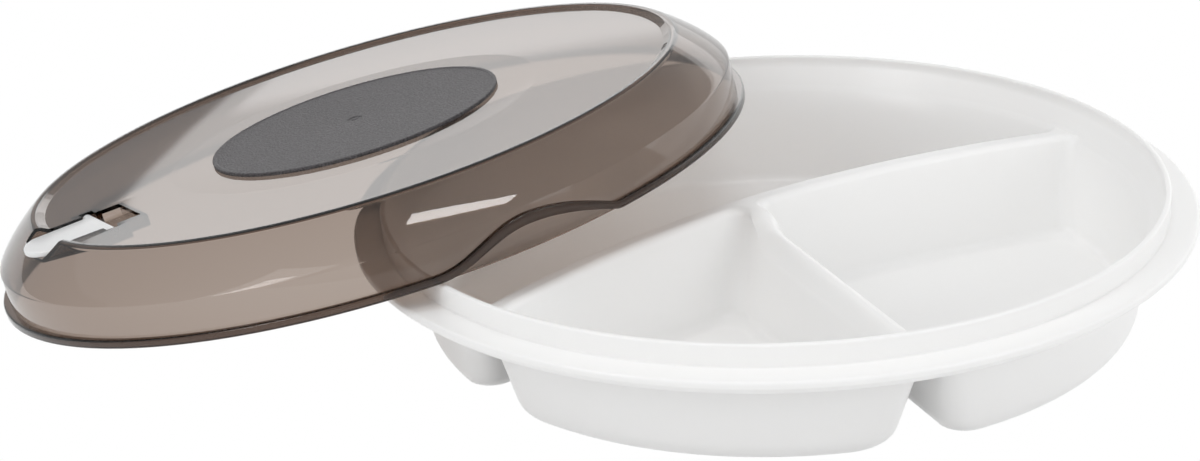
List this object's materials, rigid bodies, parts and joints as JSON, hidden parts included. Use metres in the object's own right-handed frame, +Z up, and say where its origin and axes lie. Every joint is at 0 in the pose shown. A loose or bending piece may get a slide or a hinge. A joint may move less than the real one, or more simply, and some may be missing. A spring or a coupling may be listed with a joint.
{
  "type": "divided serving tray with vented lid",
  "caption": "Round divided serving tray with separate cups and a see-through domed lid leaning on it, with a thumb recess and a hinged steam vent.",
  "frame": {"origin": "middle of the whole set's footprint, at table level, with the lid leaning on the tray", "axes": "+X from the leaning lid towards the tray, +Y towards the back, +Z up"},
  "size_m": [0.3692, 0.2864, 0.0759],
  "materials": {
    "tray": "white moulded plastic with a soft sheen",
    "lid": "smoke-brown see-through moulded plastic, glossy",
    "pad": "fine-grained matte dark grey",
    "flap": "white moulded plastic, satin"
  },
  "bodies": {
    "tray": {"tray": "tray"},
    "lid": {"lid": "lid", "centre_pad": "pad"},
    "vent_flap": {"vent_flap": "flap"}
  },
  "joints": [
    {"name": "lid_lift", "type": "slide", "parent": "tray", "child": "lid", "axis": [0, 0, 1], "range_m": [0, 0.12]},
    {"name": "vent_hinge", "type": "hinge", "parent": "lid", "child": "vent_flap", "pos_m": [-0.14287, -0.02384, 0.03487], "axis": [-0.5169, 0.8387, -0.1716], "range_deg": [0, 100]}
  ]
}
